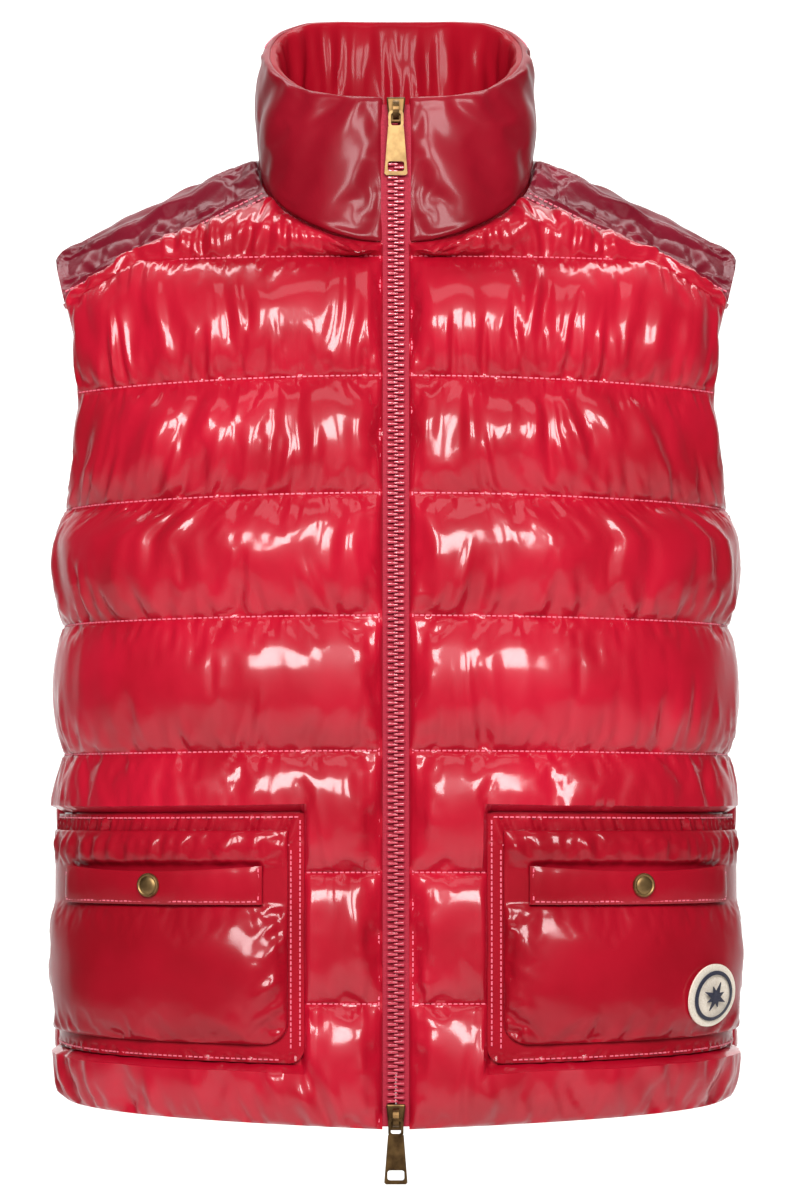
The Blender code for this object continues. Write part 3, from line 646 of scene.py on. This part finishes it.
def facingFolds(u, v):
    # the facing hangs in a few upright folds; they only stand inwards
    along = u * collarSizes["aroundInside"]
    folds = 4.2 * np.abs(crease(along / 12, v * 0.9, 0, 41.0))
    folds = folds + 0.8 * np.abs(crease(along / 5, v * 3, 0, 42.0))
    return -folds * np.sin(pi * np.clip(v, 0, 1)) ** 0.5 * zipEdges(u)


def collarHeight(u, v):
    return collarSizes["puff"] * collarEdges(u, v)


def collarDepth(u, v):
    return vest["seamWall"] + collarSizes["inPuff"] * collarEdges(u, v)


def facingHeight(u, v):
    return collarSizes["facingRise"] - facingLift - collarSizes["inPuff"] * collarEdges(u, v)


def facingDepth(u, v):
    return facingLift + collarSizes["inPuff"] * 1.16 * collarEdges(u, v) + collarSizes["facingWall"]


facingLift = 2 * vest["gap"] + vest["seamWall"]
makePadded("collar", collarPoint, 150, 30, collarHeight, collarDepth, collarNylon,
           edgePins, 0, level=True, folds=collarFolds)
makePadded("collar_facing", collarPoint, 150, 20, facingHeight, facingDepth, facingNylon,
           edgePins, collarSizes["facingTuck"], level=True, sim=False, inFolds=facingFolds)
print("yokes and collar made")

# Pockets: shares of the front's width and channels down, as in the solids.
pocket = {"frame": (0.172, 0.955, 5.512, 7.490), "bag": (0.207, 0.930, 5.645, 7.340),
          "welt": (0.262, 0.760, 5.940, 6.240), "lift": 0.9, "frameWall": 1.6, "weltWall": 3.0,
          "bagWall": 2.1, "bagPuff": 11.0, "bagTopPuff": 4.0, "sideShare": 0.35,
          "frameSize": (195, 140), "bagSize": (180, 121), "frameCorner": 9, "bagCorner": 14,
          "badge": (0.685, 6.985), "badgeRadius": 19, "mouth": 1.9, "weltCrown": 1.5,
          "weltSag": 0.14,  # how far the mouth hangs in the middle, a share of the welt
          "frameFlat": (0.200, 0.140), "weltFlat": (0.128, 0.022)}  # cut sizes in metres
bagBase = pocket["lift"] + pocket["frameWall"] + 2 * vest["gap"]
weltBase = bagBase + pocket["bagWall"] + 3 * vest["gap"]


def pocketSurface(piece):
    inner, outer, top, bottom = pocket[piece]
    return lambda u, v: frontSurface(mix(inner, outer, u), mix(bottom, top, v))


def roundCorner(u, v, size, radius):
    width, height = size
    x, y = u * width, v * height
    inside = (x < radius) & (y < radius)
    far = np.maximum(radius - x, radius - y)
    length = np.maximum(np.hypot(radius - x, radius - y), 1e-6)
    scale = np.where(inside, far / length, 1.0)
    return (np.where(inside, radius - (radius - x) * scale, x) / width,
            np.where(inside, radius - (radius - y) * scale, y) / height)


def bagSwell(v):
    top, bottom = pocket["bag"][2:]
    upper, lower = pocket["welt"][2:]
    down = mix(bottom, top, v)
    high = pocket["bagTopPuff"] * swell((upper - down) / (upper - top))
    low = pocket["bagPuff"] * swell((bottom - down) / (bottom - lower))
    return np.where(down < upper, high, np.where(down < lower, 0, low))


def bagPuff(u, v):
    fullness = mix(1.0, pocket["sideShare"], np.clip(u, 0, 1) ** 1.5)
    return bagSwell(v) * fullness * easeIn(u, 0.08) * easeIn(1 - u, 0.06)


bagFaces = {}


def bagFolds(u, v, seed):
    # upright puckers over the band above the mouth, and short ones from the seams of the bag
    width, tall = pocket["bagSize"]
    along, up = u * width, v * tall
    top, bottom = pocket["bag"][2:]
    mouth = (bottom - pocket["welt"][2]) / (bottom - top)
    band = (v > mouth) * np.sin(pi * np.clip((v - mouth) / (1 - mouth), 0, 1))
    upright = 2.8 * crease((along + 0.15 * up) / 6.5, up / 60, 0, seed) * band
    below = v < mouth
    fromFoot = np.clip(1 - up / (16 + 10 * crease(along / 20, 0, 0, seed + 1)), 0, 1)
    foot = 2.4 * crease((along - 0.3 * up) / 7.5, up / 40, 0, seed + 2) * fromFoot
    nearSide = np.clip(1 - np.minimum(along, width - along) / 22, 0, 1)
    sides = 2.6 * crease((up + 0.7 * along) / 8, along / 30, 0, seed + 3) * nearSide
    soft = 1.2 * crease(along / 34, up / 30, 0, seed + 4)
    return upright + (foot + sides + soft) * below


def makeBag(word, side):
    surface = pocketSurface("bag")
    bm, where, _ = gridSheet(90, 66)
    u, v = roundCorner(where[:, 0], where[:, 1], pocket["bagSize"], pocket["bagCorner"])
    puff = bagPuff(where[:, 0], where[:, 1])
    outer, normal = lifted(surface, u, v, (bagBase + pocket["bagWall"] + puff * 0.85) * mm)
    pins = np.where(puff < 0.3, 1.0, 0.0)
    outer = fillCloth(bm, outer, pins, "pocket_bag_" + word, 5, 0.015, 14, 4 * mm)
    folds = bagFolds(where[:, 0], where[:, 1], 50.0 + 3 * side) * np.clip(puff / 2, 0, 1)
    # the bag sinks along the mouth, so that the opening shows dark behind the welt
    top, bottom = pocket["bag"][2:]
    fromMouth = mix(bottom, top, where[:, 1]) - pocket["welt"][2]
    sunk = (fromMouth > -0.03) & (fromMouth < 0.08)
    inWelt = (where[:, 0] > 0.08) & (where[:, 0] < 0.76)
    folds = folds - pocket["mouth"] * (sunk & inWelt)
    outer = outer + normal * (folds * mm)[:, None]
    bagFaces[side] = BVHTree.FromPolygons([Vector((p[0] * side, p[1], p[2])) for p in outer],
                                          [[vert.index for vert in face.verts] for face in bm.faces])
    inner = lifted(surface, u, v, 0 * u + bagBase * mm)[0]
    for array in (outer, inner):
        array[:, 0] *= side
    closeWall(bm, outer, inner)
    piece = finish("pocket_bag_" + word + "_cloth", bm, pocketNylon, ("pocket_bag_" + word,))
    subdivide(piece, 1)


def frameFolds(u, v):
    # the strip above the bag is gathered into fine upright puckers, the sides into short level ones
    along, up = u * pocket["frameSize"][0], v * pocket["frameSize"][1]
    strip = np.clip((up - 122) / 3, 0, 1) * np.clip((139 - up) / 3, 0, 1)
    outerSide = np.clip((along - 187) / 2, 0, 1) + np.clip((6 - up) / 2, 0, 1)
    gathers = 1.9 * crease((along + 0.3 * up) / 3.6, up / 40, 0, 61.0) * strip
    return gathers + 0.9 * crease(along / 5, up / 5, 0, 62.0) * np.clip(outerSide, 0, 1)


def weltFolds(u, v):
    # the mouth stands slightly away from the bag in the middle
    stands = 1.1 * np.clip(v, 0, 1) ** 2 * np.sin(pi * np.clip(u, 0, 1))
    return stands + 0.25 * crease(u * 16, v * 1.5, 0, 63.0)


def makePatch(name, piece, columns, rows, low, wall, crown, corner, side, folds):
    surface = pocketSurface(piece)
    bm, where, _ = gridSheet(columns, rows)
    u, v = where.T
    if corner:
        u, v = roundCorner(u, v, pocket["frameSize"], corner)
    else:
        v = v * (1 - pocket["weltSag"] * np.sin(pi * u))
    dome = crown * swell(where[:, 1]) * easeIn(where[:, 0], 0.06) * easeIn(1 - where[:, 0], 0.06)
    rise = low + wall + dome + folds(where[:, 0], where[:, 1])
    outer = lifted(surface, u, v, rise * mm)[0]
    inner = lifted(surface, u, v, 0 * u + low * mm)[0]
    for array in (outer, inner):
        array[:, 0] *= side
    closeWall(bm, outer, inner)
    made = finish(name + "_cloth", bm, pocketNylon, (name,), smooth=50)


for word, side in (("left", 1), ("right", -1)):
    makePatch("pocket_frame_" + word, "frame", 150, 100, pocket["lift"], pocket["frameWall"], 0,
              pocket["frameCorner"], side, frameFolds)
    makeBag(word, side)
    makePatch("pocket_welt_" + word, "welt", 70, 14, weltBase, pocket["weltWall"],
              pocket["weltCrown"], 0, side, weltFolds)
print("pockets made")

# Zip.
zipLook = {"pitch": 3.9, "reach": 4.75, "tooth": (6.0, 2.6, 1.75), "teethFrom": 44, "teethTo": -516,
           "tapeFrom": 49, "tapeTo": -526, "tapeEdges": (0.15, 8.6), "tapeSunk": 1.0, "tapeWall": 1.2,
           "tapeFlat": (0.016, 0.590), "tapeShows": 0.0049}  # cut size in m, and what shows in m2


def zipLine(z):
    # how far forward the fronts' stitched edges lie at a height
    downs = np.linspace(0, 8, 241)
    body = panelPoint(np.zeros(241), downs, True)
    low, high = collarPoint(np.zeros(2), np.array([0.0, 1.0]))
    bodyY = np.interp(-z, -body[:, 2], body[:, 1])
    collarY = np.interp(z, [low[2], high[2]], [low[1], high[1]])
    return np.where(z > low[2], collarY, bodyY)


def makeTape(word, side):
    bm, where, _ = gridSheet(3, 190)
    z = mix(zipLook["tapeTo"] * mm, zipLook["tapeFrom"] * mm, where[:, 1])
    near, far = zipLook["tapeEdges"]
    x = mix(near * mm, far * mm, where[:, 0])  # its outer edge is sewn in behind the front's
    y = zipLine(z) + zipLook["tapeSunk"] * mm
    outer = np.stack([x * side, y, z], 1)
    inner = np.stack([x * side, y + zipLook["tapeWall"] * mm, z], 1)
    closeWall(bm, outer, inner)
    tape = finish("zip_tape_" + word + "_cloth", bm, zipTape, ("zip_tape_" + word,), smooth=40)


def makeTeeth(word, side):
    # moulded teeth, one block each, gripping past the middle line between the other side's
    bm = bmesh.new()
    length, depth, tall = zipLook["tooth"]
    count = int((zipLook["teethFrom"] - zipLook["teethTo"]) / zipLook["pitch"])
    offset = 0 if side > 0 else zipLook["pitch"] / 2
    heights = np.array([zipLook["teethFrom"] - offset - i * zipLook["pitch"] for i in range(count)]) * mm
    faces = zipLine(heights)
    for z, y in zip(heights, faces):
        made = bmesh.ops.create_cube(bm, size=1)["verts"]
        tip = [vert for vert in made if vert.co.x * side < 0]
        bmesh.ops.scale(bm, vec=(length * mm, depth * mm, tall * mm), verts=made)
        bmesh.ops.scale(bm, vec=(1, 1, 0.72), verts=tip)
        middle = (zipLook["reach"] - length / 2) * mm * side
        bmesh.ops.translate(bm, vec=(middle, y - 0.5 * mm, z), verts=made)
    bmesh.ops.bevel(bm, geom=bm.edges[:], offset=0.35 * mm, segments=2, profile=0.5,
                    affect="EDGES", material=-1)
    finish("zip_teeth_" + word, bm, mouldedAcetal, smooth=50)


for word, side in (("left", 1), ("right", -1)):
    makeTape(word, side)
    makeTeeth(word, side)
for node in ("zip_slider_top", "zip_slider_bottom", "zip_pull_top", "zip_pull_bottom"):
    bpy.data.objects[node].data.materials[0] = brass if node == "zip_pull_top" else darkBrass
print("zip made")


# Snaps: a pressed cap with a rolled rim, a groove and a shallow dome.
snapLook = {"lift": 2.0, "beads": 24, "beadRadius": 0.3, "beadPlace": (5.1, 1.8),
            "profile": ((0, 0), (5.9, 0), (6.8, 0.5), (6.75, 1.3), (6.3, 1.95), (5.7, 2.1), (5.2, 1.75),
                        (4.9, 1.7), (4.4, 2.1), (3.0, 2.45), (1.2, 2.62), (0, 2.65))}  # out, up


def makeSnap(word, side):
    surface = pocketSurface("welt")
    half = np.array([0.5])
    spot, normal = lifted(surface, half, half, (weltBase + pocket["weltWall"] + snapLook["lift"]) * mm)
    bm = bmesh.new()
    verts = [bm.verts.new((radius * mm, 0, height * mm)) for radius, height in snapLook["profile"]]
    edges = [bm.edges.new(pair) for pair in zip(verts, verts[1:])]
    bmesh.ops.spin(bm, geom=verts + edges, cent=(0, 0, 0), axis=(0, 0, 1), angle=2 * pi, steps=48,
                   use_merge=True)
    out, up = snapLook["beadPlace"]
    for bead in range(snapLook["beads"]):
        # a ring of small pressed beads lies in the groove
        turn = Matrix.Rotation(2 * pi * bead / snapLook["beads"], 4, "Z")
        bmesh.ops.create_icosphere(bm, subdivisions=1, radius=snapLook["beadRadius"] * mm,
                                   matrix=turn @ Matrix.Translation((out * mm, 0, up * mm)))
    turn = Vector((0, 0, 1)).rotation_difference(Vector(normal[0])).to_matrix().to_4x4()
    bmesh.ops.transform(bm, matrix=Matrix.Translation(spot[0]) @ turn, verts=bm.verts[:])
    bmesh.ops.scale(bm, vec=(side, 1, 1), verts=bm.verts[:])
    finish("snap_" + word + "_cap", bm, brass, ("snap_" + word,), smooth=35)


for word, side in (("left", 1), ("right", -1)):
    makeSnap(word, side)
print("snaps made")


# Badge: a plain round felt patch with an embroidered ring and star.
badgeLook = {"thick": 1.2, "lift": 0.15, "threadLift": 1.75, "thread": 0.55, "threadDepth": 0.5,
             "ringStitches": 150, "ringWidth": 2.4, "ringPlace": 0.74,
             "starRows": 14, "starHalf": 2.2, "starReach": (0.34, 0.46)}


def onlyVerts(made):
    return [item for item in made if isinstance(item, bmesh.types.BMVert)]


def makeBadge():
    inner, outer, top, bottom = pocket["bag"]
    share, down = pocket["badge"]
    surface = pocketSurface("bag")
    one = np.array([0.5])
    width = np.linalg.norm(surface(one + 0.01, one) - surface(one, one)) * 100
    tall = np.linalg.norm(surface(one, one + 0.01) - surface(one, one)) * 100
    centreU, centreV = (share - inner) / (outer - inner), (bottom - down) / (bottom - top)

    # the felt is stiff: one smooth dome fitted over the bag's own puckers
    rings = np.array([(r * cos(a), r * sin(a)) for r in np.linspace(0, pocket["badgeRadius"] * mm, 7)
                      for a in np.linspace(0, 2 * pi, 24)])
    spots, normals = lifted(surface, centreU + rings[:, 0] / width, centreV + rings[:, 1] / tall,
                            0 * rings[:, 0] + bagBase * mm)
    rises = []
    for spot, normal in zip(spots, normals):
        hit = bagFaces[1].ray_cast(Vector(spot + normal * 0.04), Vector(-normal))
        rises.append(0.04 - hit[3])

    def powers(xy):
        x, y = xy[:, 0] / mm, xy[:, 1] / mm
        return np.stack([1 + 0 * x, x, y, x * x, x * y, y * y], 1)

    dome = np.linalg.lstsq(powers(rings), np.array(rises), rcond=None)[0]
    clear = (np.array(rises) - powers(rings) @ dome).max()

    def stand(flat):
        return powers(flat) @ dome + clear

    def lay(bm, lift):
        flat = np.array([vert.co for vert in bm.verts])
        u, v = centreU + flat[:, 0] / width, centreV + flat[:, 1] / tall
        spots, normals = lifted(surface, u, v, 0 * u + bagBase * mm)
        laid = spots + normals * (stand(flat) + lift * mm + flat[:, 2])[:, None]
        for vert, point in zip(bm.verts, laid):
            vert.co = point

    bm = bmesh.new()
    radius = pocket["badgeRadius"] * mm
    bmesh.ops.create_circle(bm, cap_ends=True, cap_tris=False, segments=64, radius=radius)
    bmesh.ops.inset_region(bm, faces=bm.faces[:], thickness=0.6 * mm, depth=0.5 * mm)
    for ring in range(6):
        centre = [face for face in bm.faces if len(face.verts) > 4]
        bmesh.ops.inset_region(bm, faces=centre, thickness=radius / 7, depth=0)
    made = bmesh.ops.extrude_face_region(bm, geom=bm.faces[:])["geom"]
    bmesh.ops.translate(bm, vec=(0, 0, badgeLook["thick"] * mm), verts=onlyVerts(made))
    lay(bm, badgeLook["lift"])
    finish("badge_felt", bm, creamFelt, ("badge",), smooth=50)

    bm = bmesh.new()
    thread, depth = badgeLook["thread"] * mm, badgeLook["threadDepth"] * mm

    def addStitch(size, angle, out, twist=0.0):
        turn = Matrix.Rotation(angle, 4, "Z") @ Matrix.Translation((out, 0, 0))
        stitch = bmesh.ops.create_cube(bm, size=1)["verts"]
        bmesh.ops.scale(bm, vec=size, verts=stitch)
        bmesh.ops.transform(bm, matrix=turn @ Matrix.Rotation(twist, 4, "Z"), verts=stitch)

    for step in range(badgeLook["ringStitches"]):
        angle = 2 * pi * step / badgeLook["ringStitches"]
        addStitch((badgeLook["ringWidth"] * mm, thread, depth), angle, radius * badgeLook["ringPlace"], 0.5)
    rows = badgeLook["starRows"]
    for point in range(8):
        reach = radius * badgeLook["starReach"][point % 2]
        for row in range(rows):
            along = row / (rows - 1)
            half = (1 - along) * badgeLook["starHalf"] * mm + 0.2 * mm
            addStitch((thread, 2 * half, depth), pi / 8 + pi / 4 * point, reach * along)
    lay(bm, badgeLook["threadLift"])
    finish("badge_embroidery", bm, navyThread, smooth=30)


makeBadge()

# Stitches.
stitchLook = {"length": 2.1, "thick": 0.8, "step": 3.1}


def stitchLine(bm, points, normals):
    # points along a seam in metres: a short bead at every step
    length, thick = stitchLook["length"] * mm, stitchLook["thick"] * mm
    gaps = np.linalg.norm(np.diff(points, axis=0), axis=1)
    reached = np.concatenate([[0], np.cumsum(gaps)])
    for place in np.arange(stitchLook["step"] / 2 * mm, reached[-1], stitchLook["step"] * mm):
        here = Vector([np.interp(place, reached, points[:, i]) for i in range(3)])
        ahead = Vector([np.interp(place + 0.5 * mm, reached, points[:, i]) for i in range(3)])
        up = Vector([np.interp(place, reached, normals[:, i]) for i in range(3)]).normalized()
        along = (ahead - here).normalized()
        across = up.cross(along).normalized()
        turn = Matrix((along, across, up)).transposed().to_4x4()
        made = bmesh.ops.create_cube(bm, size=1)["verts"]
        bmesh.ops.scale(bm, vec=(length, thick, thick), verts=made)
        bmesh.ops.transform(bm, matrix=Matrix.Translation(here + up * 0.1 * mm) @ turn, verts=made)


def seamStitches(name, surface, lines, lift, side=1):
    bm = bmesh.new()
    for us, vs in lines:
        points, normals = lifted(surface, us, vs, 0 * us + lift * mm)
        points[:, 0] *= side
        normals[:, 0] *= side
        stitchLine(bm, points, normals)
    finish(name, bm, threadAndPaintedHighlight, smooth=30)


def straight(u0, u1, v0, v1, count=60):
    return np.linspace(u0, u1, count), np.linspace(v0, v1, count)


for word, side in (("left", 1), ("right", -1)):
    quilting = [straight(0.01, 0.985, row, row) for row in range(2, 6)] + [straight(0.01, 0.62, 1, 1)]
    quilting += [straight(0.01, 0.165, row, row) for row in (6, 7)] + [
        straight(0.008, 0.008, 0.02, 7.95, 240)]
    seamStitches("quilt_stitches_" + word, frontSurface, quilting, 0.1, side)
    frameLines = [straight(0.015, 0.985, 0.985, 0.985), straight(0.012, 0.012, 0.07, 0.985, 120),
                  straight(0.07, 0.985, 0.014, 0.014), straight(0.038, 0.038, 0.06, 0.86, 120),
                  straight(0.04, 0.96, 0.868, 0.868)]
    seamStitches("frame_stitches_" + word, pocketSurface("frame"), frameLines,
                 pocket["lift"] + pocket["frameWall"], side)
    weltLines = [straight(0.02, 0.98, 0.08, 0.08), straight(0.015, 0.015, 0.1, 0.9),
                 straight(0.985, 0.985, 0.1, 0.9)]
    seamStitches("welt_stitches_" + word, pocketSurface("welt"), weltLines,
                 weltBase + pocket["weltWall"] + 0.2, side)
    band = yokeLook["band"]
    yokeLines = [straight(0.02, 0.98, place, place) for place in (0.022, band * 0.8, 1 - band * 0.8, 0.978)]
    seamStitches("yoke_stitches_" + word, yokePoint, yokeLines, 0.5, side)
backLines = [straight(-0.985, 0.985, row, row, 160) for row in range(1, 8)]
seamStitches("back_stitches", backSurface, backLines, 0.1)
# only the back of the rim is topstitched
seamStitches("rim_stitches", collarPoint, [straight(0.27, 0.73, 0.985, 0.985, 100)], 0.6)
print("stitches made")

# Stage, camera and lights.
studio = {"floor": -1.5, "distance": 3.2, "eye": -0.232, "aside": 0.0023, "lens": 165.5,
          "halfWidth": 6, "front": -6, "bend": 1.2, "bendFrom": 2.2, "top": 5, "world": 0.08,
          "lights": {  # place, what it is aimed at, size in metres, watts
              "keyLeft": ((-0.5, -2.3, 0.75), (0, 0, -0.2), (0.6, 0.9), 45),
              "keyRight": ((0.5, -2.3, 0.75), (0, 0, -0.2), (0.6, 0.9), 45),
              "overhead": ((0, -0.9, 1.7), (0, 0, -0.2), (1.2, 0.6), 5),
              "backdrop": ((0, 1.2, 2.6), (0, 3.2, -0.2), (4.0, 1.5), 190)}}


def makeStage():
    bm = bmesh.new()
    floor, bend, bendFrom = studio["floor"], studio["bend"], studio["bendFrom"]
    profile = [(studio["front"], floor), (bendFrom, floor)]
    for angle in np.linspace(0.15, pi / 2, 10):
        profile.append((bendFrom + bend * sin(angle), floor + bend * (1 - cos(angle))))
    profile.append((bendFrom + bend, studio["top"]))
    verts = [bm.verts.new((-studio["halfWidth"], y, z)) for y, z in profile]
    edges = [bm.edges.new(pair) for pair in zip(verts, verts[1:])]
    made = bmesh.ops.extrude_edge_only(bm, edges=edges)["geom"]
    bmesh.ops.translate(bm, vec=(2 * studio["halfWidth"], 0, 0), verts=onlyVerts(made))
    bmesh.ops.recalc_face_normals(bm, faces=bm.faces[:])
    if max(bm.faces, key=lambda face: face.calc_area()).normal.z < 0:  # the floor faces up
        bmesh.ops.reverse_faces(bm, faces=bm.faces[:])
    mesh = bpy.data.meshes.new("studioSweep")
    bm.to_mesh(mesh)
    bm.free()
    mesh.shade_smooth()
    paper, tree, shader = newMaterial("palePaper", {"Base Color": linear("F6F5F4"), "Roughness": 0.9})
    # the paper shows its lit side only, so it never hides the vest from behind
    geometry = addNode(tree, "ShaderNodeNewGeometry")
    clear = addNode(tree, "ShaderNodeBsdfTransparent")
    seen = addNode(tree, "ShaderNodeMixShader", links={
        0: geometry.outputs["Backfacing"], 1: shader.outputs["BSDF"], 2: clear.outputs["BSDF"]})
    tree.links.new(seen.outputs["Shader"], tree.nodes["Material Output"].inputs["Surface"])
    mesh.materials.append(paper)
    sweep = bpy.data.objects.new("studioSweep", mesh)
    bpy.context.scene.collection.objects.link(sweep)


def softLight(name, place, target, size, power):
    light = bpy.data.lights.new(name, "AREA")
    light.shape = "RECTANGLE"
    light.size, light.size_y = size
    light.energy = power
    lamp = bpy.data.objects.new(name, light)
    lamp.location = place
    lamp.rotation_euler = (Vector(target) - Vector(place)).to_track_quat("-Z", "Y").to_euler()
    bpy.context.scene.collection.objects.link(lamp)


makeStage()
for name, settings in studio["lights"].items():
    softLight(name, *settings)
world = bpy.data.worlds.new("studio")
world.use_nodes = True
world.node_tree.nodes["Background"].inputs["Color"].default_value = (1, 1, 1, 1)
world.node_tree.nodes["Background"].inputs["Strength"].default_value = studio["world"]
bpy.context.scene.world = world
bpy.context.scene.view_settings.view_transform = "Standard"

camera = bpy.data.cameras.new("camera")
camera.lens = studio["lens"]
eye = bpy.data.objects.new("camera", camera)
eye.location = (studio["aside"], -studio["distance"], studio["eye"])
eye.rotation_euler = (pi / 2, 0, 0)
bpy.context.scene.collection.objects.link(eye)
bpy.context.scene.camera = eye
print("studio made")
